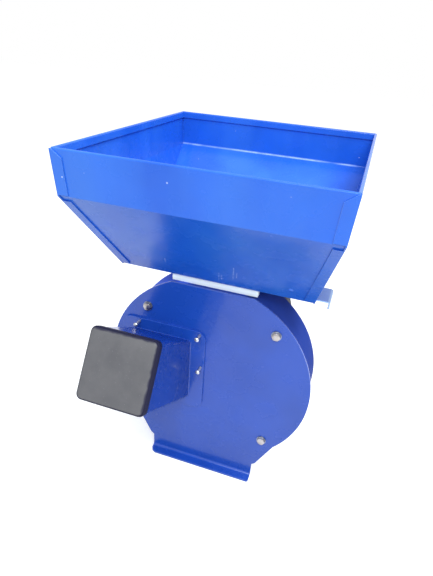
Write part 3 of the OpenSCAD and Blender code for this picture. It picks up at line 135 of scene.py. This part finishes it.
class Paint:
    """A node material built around one Principled shader. Values are sockets or constants."""

    def __init__(self, name, **constants):
        self.material = bpy.data.materials.new(name)
        self.material.use_nodes = True
        self.tree = self.material.node_tree
        self.shader = self.tree.nodes["Principled BSDF"]
        self.coordinates = self.add("ShaderNodeTexCoord").outputs["Object"]
        for socket, value in constants.items():
            self.shader.inputs[socket.replace("_", " ")].default_value = value
        self.bumps = None

    def add(self, kind, **settings):
        node = self.tree.nodes.new(kind)
        for key, value in settings.items():
            setattr(node, key, value)
        return node

    def feed(self, socket, value):
        """Links a socket, or sets a constant on it."""
        if isinstance(value, bpy.types.NodeSocket):
            self.tree.links.new(value, socket)
        else:
            socket.default_value = value

    def stretched(self, scale, turn=(0, 0, 0)):
        """Object coordinates, scaled along each axis and turned."""
        node = self.add("ShaderNodeMapping")
        self.feed(node.inputs["Vector"], self.coordinates)
        node.inputs["Scale"].default_value = scale
        node.inputs["Rotation"].default_value = turn
        return node.outputs["Vector"]

    def noise(self, scale, detail=3.0, rough=0.5, vector=None):
        """Soft noise from 0 to 1 around 0.5."""
        node = self.add("ShaderNodeTexNoise")
        self.feed(node.inputs["Vector"], vector or self.coordinates)
        node.inputs["Scale"].default_value = scale
        node.inputs["Detail"].default_value = detail
        node.inputs["Roughness"].default_value = rough
        return node.outputs["Fac"]

    def cells(self, scale, vector=None):
        """Distance to the middle of the nearest cell."""
        node = self.add("ShaderNodeTexVoronoi")
        self.feed(node.inputs["Vector"], vector or self.coordinates)
        node.inputs["Scale"].default_value = scale
        return node.outputs["Distance"]

    def remap(self, value, low, high, to_low=0.0, to_high=1.0):
        """Takes low to to_low and high to to_high, and clamps outside them."""
        node = self.add("ShaderNodeMapRange", clamp=True)
        for socket, item in zip(node.inputs[:5], (value, low, high, to_low, to_high)):
            self.feed(socket, item)
        return node.outputs["Result"]

    def math(self, operation, a, b=0.0):
        node = self.add("ShaderNodeMath", operation=operation)
        self.feed(node.inputs[0], a)
        self.feed(node.inputs[1], b)
        return node.outputs[0]

    def times(self, a, b):
        return self.math("MULTIPLY", a, b)

    def minus(self, a, b):
        return self.math("SUBTRACT", a, b)

    def apart(self, a, b):
        """The distance between two values."""
        return self.math("ABSOLUTE", self.minus(a, b))

    def axis(self, name):
        """One coordinate of the surface point."""
        node = self.add("ShaderNodeSeparateXYZ")
        self.feed(node.inputs[0], self.coordinates)
        return node.outputs[name]

    def along(self, direction):
        """The surface point's coordinate along a direction of the y-z plane."""
        return self.math("ADD", self.times(self.axis("Y"), direction.y),
                         self.times(self.axis("Z"), direction.z))

    def mix(self, factor, a, b):
        node = self.add("ShaderNodeMix", data_type="RGBA")
        self.feed(node.inputs["Factor"], factor)
        for socket, colour in ((node.inputs["A"], a), (node.inputs["B"], b)):
            self.feed(socket, colour if isinstance(colour, bpy.types.NodeSocket) else (*colour, 1))
        return node.outputs["Result"]

    def rounded_normal(self, radius):
        bevel = self.add("ShaderNodeBevel", samples=6)
        bevel.inputs["Radius"].default_value = radius
        return bevel.outputs[0]

    def edges(self, radius):
        """1 on edges within a radius, 0 on flat ground."""
        rounded = self.rounded_normal(radius)
        geometry = self.add("ShaderNodeNewGeometry")
        dot = self.add("ShaderNodeVectorMath", operation="DOT_PRODUCT")
        self.feed(dot.inputs[0], rounded)
        self.feed(dot.inputs[1], geometry.outputs["True Normal"])
        return self.remap(dot.outputs["Value"], 0.995, 0.8)

    def round_edges(self, radius):
        """Rounds every edge for light, and starts the chain of bumps."""
        self.bumps = self.rounded_normal(radius)

    def bump(self, height, strength, depth):
        node = self.add("ShaderNodeBump")
        node.inputs["Strength"].default_value = strength
        node.inputs["Distance"].default_value = depth
        self.feed(node.inputs["Height"], height)
        if self.bumps is not None:
            self.feed(node.inputs["Normal"], self.bumps)
        self.bumps = node.outputs["Normal"]

    def done(self, colour, roughness):
        self.feed(self.shader.inputs["Base Color"], colour)
        self.feed(self.shader.inputs["Roughness"], roughness)
        if self.bumps is not None:
            self.feed(self.shader.inputs["Normal"], self.bumps)
        return self.material


def powder_coat(name, colour, edge_coat_and_highlight, specks=0.06, wave=0.15, gloss=1.0, rough=0.2, edge_wear_and_highlight=0.45,
                peel=0.03, marks=None):
    """Glossy powder coat: orange peel, a slow wave of the sheet, dust specks, and paler edges: a
    thinner coat from wear, and a painted highlight.
    """
    paint = Paint(name, Coat_Weight=0.22 * gloss, Coat_Roughness=0.06, IOR=1.5,
                  Specular_IOR_Level=0.4 * gloss)
    paint.round_edges(0.8 * MM)
    tone = paint.remap(paint.noise(14, 2), 0.35, 0.65)
    body = paint.mix(tone, colour, shade(colour, 0.86))
    # Painted highlight: the edges take a paler colour, partly a thinner coat from wear, partly a
    # highlight painted along folds and rims.
    edge_wear_and_highlight_mask = paint.times(paint.edges(0.7 * MM), edge_wear_and_highlight)
    body = paint.mix(edge_wear_and_highlight_mask, body, edge_coat_and_highlight)
    speck = paint.remap(paint.cells(70), specks, specks * 0.5)
    dusty_place = paint.remap(paint.noise(23, 1), 0.62, 0.66)
    body = paint.mix(paint.times(speck, dusty_place), body, DUST)
    if marks:
        body = marks(paint, body)
    sheet_wave = paint.noise(9, 1)
    paint.bump(sheet_wave, wave, 1.2 * MM)
    orange_peel = paint.noise(620, 2)
    paint.bump(orange_peel, peel, 0.08 * MM)
    return paint.done(body, paint.remap(paint.noise(45, 4), 0.3, 0.7, rough, rough + 0.12))


def scratches(paint, body):
    """Broken scratches low on the hopper's front, which lean to the right as they rise."""
    broken = paint.remap(paint.noise(420, 2), 0.35, 0.55)
    for x, low, high in SCRATCHES:
        half = (high - low) / 2 * MM
        level = paint.minus(paint.axis("Z"), (low + high) / 2 * MM)
        off = paint.minus(paint.minus(paint.axis("X"), x * MM), paint.times(level, SCRATCH_LEAN))
        line = paint.remap(paint.math("ABSOLUTE", off), 0.55 * MM, 0.25 * MM)
        ends = paint.remap(paint.math("ABSOLUTE", level), half, half - 2 * MM)
        front = paint.remap(paint.axis("Y"), FRONT_Y + 2 * MM, FRONT_Y)
        mark = paint.times(paint.times(line, ends), front)
        body = paint.mix(paint.times(paint.times(mark, broken), 0.8), body, SCRATCH_PALE)
    return body


def chips(paint, body):
    """Small chips on the hopper's band."""
    for chip in CHIPS:
        node = paint.add("ShaderNodeVectorMath", operation="DISTANCE")
        paint.feed(node.inputs[0], paint.coordinates)
        node.inputs[1].default_value = [c * MM for c in chip]
        spot = paint.remap(node.outputs["Value"], 1.1 * MM, 0.5 * MM)
        body = paint.mix(paint.times(spot, 0.45), body, CHIP_PALE)
    return body


def painted_bend_highlight(paint, body):
    """Painted highlight: a patchy pale line on the bend between the hopper's back and its slope."""
    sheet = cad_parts["hopper_main_sheet"].data
    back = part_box("hopper_main_sheet")[1].y
    bend_z = min(v.co.z for v in sheet.vertices if v.co.y > back - 4.5 * MM) + 1 * MM
    bend = paint.times(paint.remap(paint.apart(paint.axis("Z"), bend_z), 1.6 * MM, 0.5 * MM),
                       paint.remap(paint.axis("Y"), back - 8 * MM, back - 5 * MM))
    patchy = paint.remap(paint.noise(26, 2), 0.4, 0.6, 0.05, 0.5)
    return paint.mix(paint.times(bend, patchy), body, BEND_HIGHLIGHT)


def hopper_marks(paint, body):
    """Pale upright streaks, scratches, chips, and a painted highlight on the back bend."""
    streak = paint.remap(paint.noise(1, 3, 0.5, paint.stretched((11, 11, 2.2))), 0.45, 0.7)
    body = paint.mix(paint.times(streak, 0.45), body, HOPPER_PALE)
    return painted_bend_highlight(paint, chips(paint, scratches(paint, body)))


def shell_painted_light(paint, body):
    """Painted light: the drum's left shoulder is painted brighter, where it is lit."""
    painted_lit = paint.remap(paint.axis("X"), -25 * MM, -45 * MM, 0, 0.9)
    return paint.mix(painted_lit, body, SHELL_PAINTED_LIT)


def zinc(name, colour=(0.6, 0.62, 0.67)):
    """Bright zinc plating with faint yellow patches and fine dull pits."""
    paint = Paint(name, Metallic=1.0)
    paint.round_edges(0.35 * MM)
    tint = paint.remap(paint.noise(260, 3), 0.4, 0.65)
    body = paint.mix(tint, colour, (colour[0] * 0.97, colour[1] * 0.92, colour[2] * 0.8))
    dull = paint.remap(paint.noise(1500, 3), 0.55, 0.75)
    body = paint.mix(paint.times(dull, 0.5), body, (0.3, 0.31, 0.33))
    pits = paint.noise(2600, 2)
    paint.bump(pits, 0.25, 0.04 * MM)
    return paint.done(body, paint.remap(paint.noise(700, 3), 0.3, 0.7, 0.22, 0.45))


def brushed(name, colour, along=ALONG_X, roughness=(0.25, 0.45)):
    """Rolled or ground steel whose fine lines run along one axis."""
    paint = Paint(name, Metallic=1.0)
    paint.round_edges(0.3 * MM)
    lines = paint.noise(1, 3, 0.6, paint.stretched([60 if a else 2600 for a in along]))
    stain = paint.remap(paint.noise(38, 4), 0.45, 0.7)
    body = paint.mix(paint.times(stain, 0.35), colour, shade(colour, 0.62))
    paint.bump(lines, 0.3, 0.05 * MM)
    return paint.done(body, paint.remap(lines, 0.3, 0.7, *roughness))


def cast(name, colour, metallic=0.0, roughness=0.5, grain=900, rubbed=0.35):
    """Painted or bare casting: fine sand grain, dust in patches, rubbed edges."""
    paint = Paint(name, Metallic=metallic, IOR=1.45, Specular_IOR_Level=0.08)
    paint.round_edges(0.6 * MM)
    dust = paint.remap(paint.noise(30, 4), 0.5, 0.75)
    body = paint.mix(paint.times(dust, 0.25), colour, shade(colour, 0.7, 0.05))
    bare_edge = paint.times(paint.edges(0.6 * MM), rubbed)
    body = paint.mix(bare_edge, body, shade(colour, 0.5, 0.22))
    paint.bump(paint.noise(grain, 3), 0.35, 0.12 * MM)
    rough = paint.remap(paint.noise(60, 3), 0.3, 0.7, roughness - 0.08, roughness + 0.1)
    return paint.done(body, rough)


def moulded(name, colour, roughness=0.5, grain=2200, depth=0.05 * MM):
    """Moulded plastic with a fine grain and faint scuffs."""
    paint = Paint(name, IOR=1.47)
    paint.round_edges(0.7 * MM)
    slanting = paint.stretched((45, 45, 160), (0.4, 0.2, 0.6))
    scuff = paint.remap(paint.noise(1, 4, 0.7, slanting), 0.56, 0.72)
    body = paint.mix(paint.times(scuff, 0.3), colour, shade(colour, 1.25, 0.02))
    paint.bump(paint.noise(grain, 2), 0.4, depth)
    rough = paint.remap(paint.noise(35, 4), 0.3, 0.7, roughness - 0.06, roughness + 0.1)
    return paint.done(body, rough)


def plug_cap():
    """The plug's cap: its middle in x and along UP, its outer face along OUT, and its width."""
    low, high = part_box("chute_plug")
    points = [v.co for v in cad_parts["chute_plug"].data.vertices]
    face = max(p.dot(OUT) for p in points)
    levels = [p.dot(UP) for p in points if p.dot(OUT) > face - CAP_T]
    return (low.x + high.x) / 2, (max(levels) + min(levels)) / 2, face, high.x - low.x


def plug_plastic():
    """The plug's soft dark plastic: matt and dusty, with dents and rubbed corners, and painted shade
    on its sides.
    """
    paint = Paint("soft_plastic", IOR=1.46)
    paint.round_edges(1.6 * MM)
    cloud = paint.remap(paint.noise(24, 5, 0.6), 0.35, 0.68)
    body = paint.mix(cloud, (0.085, 0.084, 0.094), (0.118, 0.115, 0.124))
    rubbed = paint.times(paint.edges(2.2 * MM), 0.3)
    body = paint.mix(rubbed, body, (0.05, 0.05, 0.065))
    speck = paint.times(paint.remap(paint.cells(260), 0.10, 0.05), 0.5)
    body = paint.mix(speck, body, (0.25, 0.25, 0.27))
    # Painted shade: the sides, and a ragged strip at the face's right and top, are painted dark and
    # less glossy, where they lie in shade
    centre_x, middle, face, _ = plug_cap()
    side = paint.remap(paint.along(OUT), face - 0.3 * MM, face - 1.2 * MM)
    right = paint.minus(paint.axis("X"), centre_x)
    rise = paint.minus(paint.along(UP), middle)
    ragged = paint.times(paint.noise(90, 3), 5 * MM)
    shade_strip = paint.math("ADD", paint.math("MAXIMUM", right, rise), ragged)
    dark = paint.math("MAXIMUM", side, paint.remap(shade_strip, 39.5 * MM, 41.5 * MM, 0, 0.85))
    body = paint.mix(dark, body, (0.02, 0.02, 0.045))
    paint.feed(paint.shader.inputs["Specular IOR Level"], paint.remap(dark, 0, 1, 0.3, 0.04))
    dents, grain = paint.noise(18, 2), paint.noise(1400, 3)
    paint.bump(dents, 0.35, 0.9 * MM)
    paint.bump(grain, 0.35, 0.06 * MM)
    return paint.done(body, paint.remap(paint.noise(50, 4), 0.3, 0.7, 0.42, 0.6))


def pad_plastic():
    """White plastic pad: a little translucent, with saw marks across its cut edges."""
    paint = Paint("pad_plastic", IOR=1.5, Subsurface_Weight=0.25,
                  Subsurface_Radius=(4 * MM, 4 * MM, 5 * MM))
    paint.round_edges(0.4 * MM)
    saw_marks = paint.noise(1, 3, 0.6, paint.stretched((2400, 60, 120)))
    stain = paint.remap(paint.noise(55, 4), 0.45, 0.75)
    body = paint.mix(paint.times(stain, 0.2), (0.78, 0.86, 0.93), (0.6, 0.66, 0.76))
    paint.bump(saw_marks, 0.3, 0.08 * MM)
    return paint.done(body, paint.remap(saw_marks, 0.3, 0.7, 0.4, 0.6))


def laminated(name, colour):
    """A stack of thin sheets along the motor's axis."""
    paint = Paint(name, Metallic=0.8)
    wave = paint.add("ShaderNodeTexWave", bands_direction="Y")
    paint.feed(wave.inputs["Vector"], paint.coordinates)
    wave.inputs["Scale"].default_value = 320
    wave.inputs["Distortion"].default_value = 0.15
    line = paint.remap(wave.outputs["Fac"], 0.15, 0.4)
    body = paint.mix(line, shade(colour, 0.35), colour)
    paint.bump(line, 0.5, 0.1 * MM)
    return paint.done(body, paint.remap(paint.noise(200, 3), 0.3, 0.7, 0.35, 0.55))


def wound(name, colour):
    """Enamelled wire in fine strands, with dark gaps between them."""
    paint = Paint(name, Metallic=0.7, Coat_Weight=0.4, Coat_Roughness=0.15)
    strands = paint.cells(620, paint.stretched((1, 0.5, 1)))
    gap = paint.remap(strands, 0.35, 0.7)
    body = paint.mix(gap, colour, shade(colour, 0.35))
    paint.bump(strands, 0.7, 0.5 * MM)
    return paint.done(body, paint.remap(paint.noise(300, 2), 0.3, 0.7, 0.25, 0.45))


def seen_directly(tree):
    """1 for rays from the camera, from glossy surfaces and through clear ones, 0 for the light."""
    path = tree.nodes.new("ShaderNodeLightPath")
    total = path.outputs["Is Camera Ray"]
    for kind in ("Is Glossy Ray", "Is Transmission Ray"):
        node = tree.nodes.new("ShaderNodeMath")
        node.operation = "MAXIMUM"
        tree.links.new(total, node.inputs[0])
        tree.links.new(path.outputs[kind], node.inputs[1])
        total = node.outputs[0]
    return total


def floor_material():
    paint = Paint("pale_floor", IOR=1.3, Specular_IOR_Level=0.1, Emission_Color=(1, 1, 1, 1))
    body = paint.mix(paint.remap(paint.noise(3, 2), 0.3, 0.7), FLOOR, shade(FLOOR, 0.98))
    seen = seen_directly(paint.tree)
    body = paint.mix(seen, body, FLOOR_SEEN)
    paint.feed(paint.shader.inputs["Emission Strength"], paint.remap(seen, 0, 1, 0, FLOOR_GLOW))
    return paint.done(body, 0.8)


def dress_nodes():
    """Gives every CAD node its material, and returns the materials by name."""
    wear = [
        (powder_coat("cover_paint", BLUE, BLUE_EDGE_AND_HIGHLIGHT), "front_cover chute_flange"),
        (powder_coat("tube_paint_shaded", TUBE_SHADED_BLUE, BLUE_EDGE_AND_HIGHLIGHT, wave=0.04, peel=0.005), "chute_tube"),
        (powder_coat("shell_paint_shaded_and_lit", SHELL_SHADED_BLUE, BLUE, gloss=0.03, rough=0.5, marks=shell_painted_light),
         "drum_shell back_plate sieve_seat inlet_duct hopper_bracket rear_stand gate_guides"),
        (powder_coat("hopper_paint", HOPPER_BLUE, HOPPER_EDGE_AND_HIGHLIGHT, specks=0.045, wave=0.25, gloss=0.7,
                     edge_wear_and_highlight=0.7, marks=hopper_marks),
         "hopper_main_sheet hopper_left_side hopper_right_side hopper_rivet"),
        (zinc("washer_zinc", (0.26, 0.29, 0.38)), "cover_washers"),
        (zinc("screw_zinc", (0.40, 0.38, 0.40)), "cover_screws"),
        (zinc("zinc_plating"),
         "chute_screws chute_nuts hopper_screws hopper_nuts flange_screws "
         "shield_screws fan_cover_screws stand_bolts lid_screws"),
        (brushed("turned_steel", (0.5, 0.51, 0.53), ALONG_Y), "cover_posts capacitor_clip"),
        (brushed("sieve_steel", (0.62, 0.63, 0.65), ALONG_Y), "sieve"),
        (pad_plastic(), "inlet_pad"),
        (plug_plastic(), "chute_plug"),
        # Painted reflection: the gate's steel is tinted blue for the blue paint round it that it
        # reflects.
        (brushed("gate_steel", (0.3, 0.42, 0.68), roughness=(0.3, 0.5)), "gate_plate"),
        (cast("cast_aluminium", (0.2, 0.205, 0.22), metallic=0.6, roughness=0.45),
         "front_shield rear_shield"),
        (cast("motor_paint", (0.012, 0.012, 0.03), roughness=0.4, grain=1500, rubbed=0.08),
         "motor_housing fan_cover"),
        (laminated("core_steel", (0.42, 0.43, 0.45)), "stator_core armature"),
        (wound("copper_wire", (0.62, 0.24, 0.08)), "stator_winding"),
        (brushed("bearing_steel", (0.7, 0.71, 0.73), ALONG_Y, roughness=(0.12, 0.25)),
         "front_bearing rear_bearing"),
        (brushed("ground_steel", (0.6, 0.61, 0.63), ALONG_Y),
         "motor_shaft drive_key spacer_sleeves lock_washer lock_nut rocker_pin"),
        (brushed("knife_steel", (0.62, 0.63, 0.66)), "front_knife cross_knife"),
        (brushed("beater_steel", (0.3, 0.3, 0.32), roughness=(0.4, 0.6)), "beaters"),
        (moulded("fan_plastic", (0.02, 0.02, 0.022)), "cooling_fan"),
        (moulded("box_plastic", (0.022, 0.022, 0.024)), "switch_box switch_lid"),
        (moulded("gland_plastic", (0.012, 0.012, 0.014), roughness=0.4), "cord_gland switch_frame"),
        (moulded("rocker_plastic", (0.42, 0.012, 0.01), roughness=0.25, grain=900, depth=0.02 * MM),
         "switch_rocker"),
        (brushed("capacitor_can", (0.66, 0.67, 0.7), ALONG_Y, roughness=(0.2, 0.35)), "capacitor"),
    ]
    for material, names in wear:
        for name in names.split():
            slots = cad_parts[name].data.materials
            slots.clear()
            slots.append(material)
    return {material.name: material for material, _ in wear}


def mesh_object(name, build, body, material, smooth=True):
    """A new piece made by a bmesh function, riding on a body."""
    mesh = bpy.data.meshes.new(name)
    bm = bmesh.new()
    build(bm)
    bmesh.ops.recalc_face_normals(bm, faces=bm.faces)
    bm.to_mesh(mesh)
    bm.free()
    for face in mesh.polygons:
        face.use_smooth = smooth
    piece = bpy.data.objects.new(name, mesh)
    bpy.context.scene.collection.objects.link(piece)
    mesh.materials.append(material)
    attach(piece, body)


def bridge(bm, rings):
    """Joins each ring of corners to the next one by quads."""
    for first, second in zip(rings, rings[1:]):
        for k in range(len(first)):
            after = (k + 1) % len(first)
            bm.faces.new((first[k], first[after], second[after], second[k]))


def sweep_loop(bm, points, radius_at, sides=8):
    """A tube of changing radius round a closed line of points."""
    rings = []
    for i, point in enumerate(points):
        ahead = (points[(i + 1) % len(points)] - points[i - 1]).normalized()
        side = ahead.cross(Vector((0, 1, 0))).normalized()
        up = side.cross(ahead)
        ring = []
        for k in range(sides):
            a = 2 * math.pi * k / sides
            ring.append(bm.verts.new(point + radius_at(i) * (math.cos(a) * side + math.sin(a) * up)))
        rings.append(ring)
    bridge(bm, rings + rings[:1])


def rounded_square(width, corner, step=math.inf, corner_points=4):
    """Points round a square with round corners. They lie about a step apart on its sides."""
    reach = width / 2 - corner
    side_points = max(int(2 * reach / step), 1)
    points = []
    for quarter in range(4):
        turn = Matrix.Rotation(quarter * math.pi / 2, 2)
        for i in range(side_points):
            points.append(turn @ Vector((width / 2, -reach + 2 * reach * i / side_points)))
        for i in range(corner_points):
            a = math.pi / 2 / corner_points * i
            points.append(turn @ Vector((reach + corner * math.cos(a), reach + corner * math.sin(a))))
    return points


def weld_beads():
    """The fillet weld that runs round the chute where it meets the flange."""
    tube_low, tube_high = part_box("chute_tube")
    flange_low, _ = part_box("chute_flange")
    width = tube_high.x - tube_low.x
    centre_x = (tube_high.x + tube_low.x) / 2
    # The tube's lowest point is its bottom edge on the flange's face
    centre_z = tube_low.z + width / 2 / math.cos(CHUTE_TILT)
    points = [Vector((centre_x + flat.x, flange_low.y - BEAD_OFF,
                      centre_z + flat.y / math.cos(CHUTE_TILT)))
              for flat in rounded_square(width, TUBE_CORNER, BEAD_STEP)]

    # Fine ripples of the welder's steps, and slow lumps
    def radius(i):
        ripple = abs(math.sin(i * 0.95))
        lump = math.sin(i * 0.11) * math.sin(i * 0.047 + 1)
        return BEAD_R * (0.78 + 0.22 * ripple + 0.16 * lump)

    def build(bm):
        sweep_loop(bm, points, radius)

    paint = powder_coat("bead_paint", BLUE, BLUE_EDGE_AND_HIGHLIGHT, wave=0, gloss=1.3, rough=0.12, edge_wear_and_highlight=0.2)
    mesh_object("chute_weld", build, "frame", paint)


def islands(node):
    """The boxes of a node's separate solids, in a fixed order: pairs of low and high corners."""
    bm = bmesh.new()
    bm.from_mesh(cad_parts[node].data)
    bmesh.ops.remove_doubles(bm, verts=bm.verts, dist=1e-6)
    left = set(bm.verts)
    boxes = []
    while left:
        front = [left.pop()]
        found = list(front)
        while front:
            for edge in front.pop().link_edges:
                for vert in edge.verts:
                    if vert in left:
                        left.remove(vert)
                        front.append(vert)
                        found.append(vert)
        boxes.append([Vector([pick(v.co[i] for v in found) for i in range(3)]) for pick in (min, max)])
    bm.free()
    return sorted(boxes, key=lambda box: tuple(box[0]))


def thread(bm, x, z, start, end):
    """A helical ridge round a shank that runs along y."""
    rows = int((end - start) / THREAD_PITCH * ROWS_PER_TURN)
    rings = []
    for row in range(rows + 1):
        ring = []
        for k in range(THREAD_SIDES):
            turn = (row / ROWS_PER_TURN - k / THREAD_SIDES) % 1
            radius = SHANK_R + THREAD_H * (1 - abs(2 * turn - 1))
            angle = 2 * math.pi * k / THREAD_SIDES
            y = start + (end - start) * row / rows
            ring.append(bm.verts.new((x + radius * math.cos(angle), y, z + radius * math.sin(angle))))
        rings.append(ring)
    bridge(bm, rings)
    bm.faces.new(rings[0])
    bm.faces.new(rings[-1])


def screw_threads(material):
    """The threads on the bare shanks of the flange's screws."""
    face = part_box("chute_flange")[0].y

    def build(bm):
        for low, high in islands("chute_screws"):
            x, z = (low.x + high.x) / 2, (low.z + high.z) / 2
            thread(bm, x, z, low.y + HEAD_T, face - THREAD_END)

    mesh_object("chute_screw_threads", build, "frame", material)


def plug_skirt(material):
    """The rim of the plug's cap, which reaches back round the end of the tube."""
    centre_x, middle, face, cap_width = plug_cap()
    tube_low, tube_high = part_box("chute_tube")
    width = cap_width + 2 * RIM_OVER
    bore = tube_high.x - tube_low.x + RIM_PLAY
    back = face - CAP_T - RIM_REACH
    r = RIM_BACK_ROUND
    # Each station: distance along OUT, width, corner. The first ones round the front edge, and the
    # last one closes the ring inside the cap.
    stations = []
    for degrees in (45, 60, 75, 90):
        a = math.radians(degrees)
        stations.append((face - RIM_ROUND * (1 - math.cos(a)),
                         width - 2 * RIM_ROUND + 2 * RIM_ROUND * math.sin(a),
                         RIM_CORNER - RIM_ROUND * (1 - math.sin(a))))
    stations += [
        (back + r, width, RIM_CORNER),
        (back + 0.3 * r, width - 0.6 * r, RIM_CORNER - 0.3 * MM),
        (back, width - 2 * r, RIM_CORNER - 0.8 * MM),
        (back, bore, CAP_CORNER - 0.5 * MM),
        (face - CAP_T - RIM_BORE_END, bore, CAP_CORNER - 0.5 * MM),
        (face - 3 * MM, bore - 4 * MM, CAP_CORNER - 1 * MM),
    ]

    def build(bm):
        rings = []
        for along, size, corner in stations:
            ring = []
            for flat in rounded_square(size, corner):
                across = Vector((centre_x + flat.x, 0, 0))
                ring.append(bm.verts.new(across + (middle + flat.y) * UP + along * OUT))
            rings.append(ring)
        bridge(bm, rings + rings[:1])

    mesh_object("plug_skirt", build, "plug", material, smooth=False)


def make_floor():
    bpy.ops.mesh.primitive_plane_add(size=FLOOR_SIDE, location=(0, 0, -FLOOR_DROP))
    floor = bpy.context.object
    floor.name = "pale_floor"
    floor.data.materials.append(floor_material())


def make_camera():
    cy, sy = math.cos(CAMERA_YAW), math.sin(CAMERA_YAW)
    cp, sp = math.cos(CAMERA_PITCH), math.sin(CAMERA_PITCH)
    forward = Vector((sy * cp, cy * cp, sp))
    level = Vector((cy, -sy, 0))
    down = forward.cross(level)
    right = math.cos(CAMERA_ROLL) * level + math.sin(CAMERA_ROLL) * down
    down = -math.sin(CAMERA_ROLL) * level + math.cos(CAMERA_ROLL) * down
    data = bpy.data.cameras.new("photo_camera")
    data.sensor_width = SENSOR
    data.lens = CAMERA_FOCAL_PX / PICTURE_HEIGHT * SENSOR
    camera = bpy.data.objects.new("photo_camera", data)
    turn = Matrix((right, -down, -forward)).transposed().to_4x4()
    camera.matrix_world = Matrix.Translation(CAMERA_AT) @ turn
    bpy.context.scene.collection.objects.link(camera)
    bpy.context.scene.camera = camera


def area_light(name, at, side, power, colour):
    data = bpy.data.lights.new(name, "AREA")
    data.shape = "RECTANGLE"
    data.size = data.size_y = side
    data.energy = power
    data.color = colour
    light = bpy.data.objects.new(name, data)
    light.location = at
    light.rotation_mode = "QUATERNION"
    light.rotation_quaternion = (Vector(LAMP_AIM) - Vector(at)).to_track_quat("-Z", "Y")
    bpy.context.scene.collection.objects.link(light)


def make_light():
    world = bpy.data.worlds.new("studio")
    world.use_nodes = True
    bpy.context.scene.world = world
    background = world.node_tree.nodes["Background"]
    background.inputs["Color"].default_value = (1, 1, 1, 1)
    # The sky shows white behind the object, and lights it a little less
    level = world.node_tree.nodes.new("ShaderNodeMapRange")
    level.inputs["To Min"].default_value = SKY
    level.inputs["To Max"].default_value = SKY_SEEN
    world.node_tree.links.new(seen_directly(world.node_tree), level.inputs["Value"])
    world.node_tree.links.new(level.outputs["Result"], background.inputs["Strength"])
    for lamp in LAMPS:
        area_light(*lamp)
    bpy.context.scene.view_settings.view_transform = "Standard"


make_camera()
make_light()
make_floor()
paints = dress_nodes()
weld_beads()
screw_threads(paints["zinc_plating"])
plug_skirt(paints["soft_plastic"])
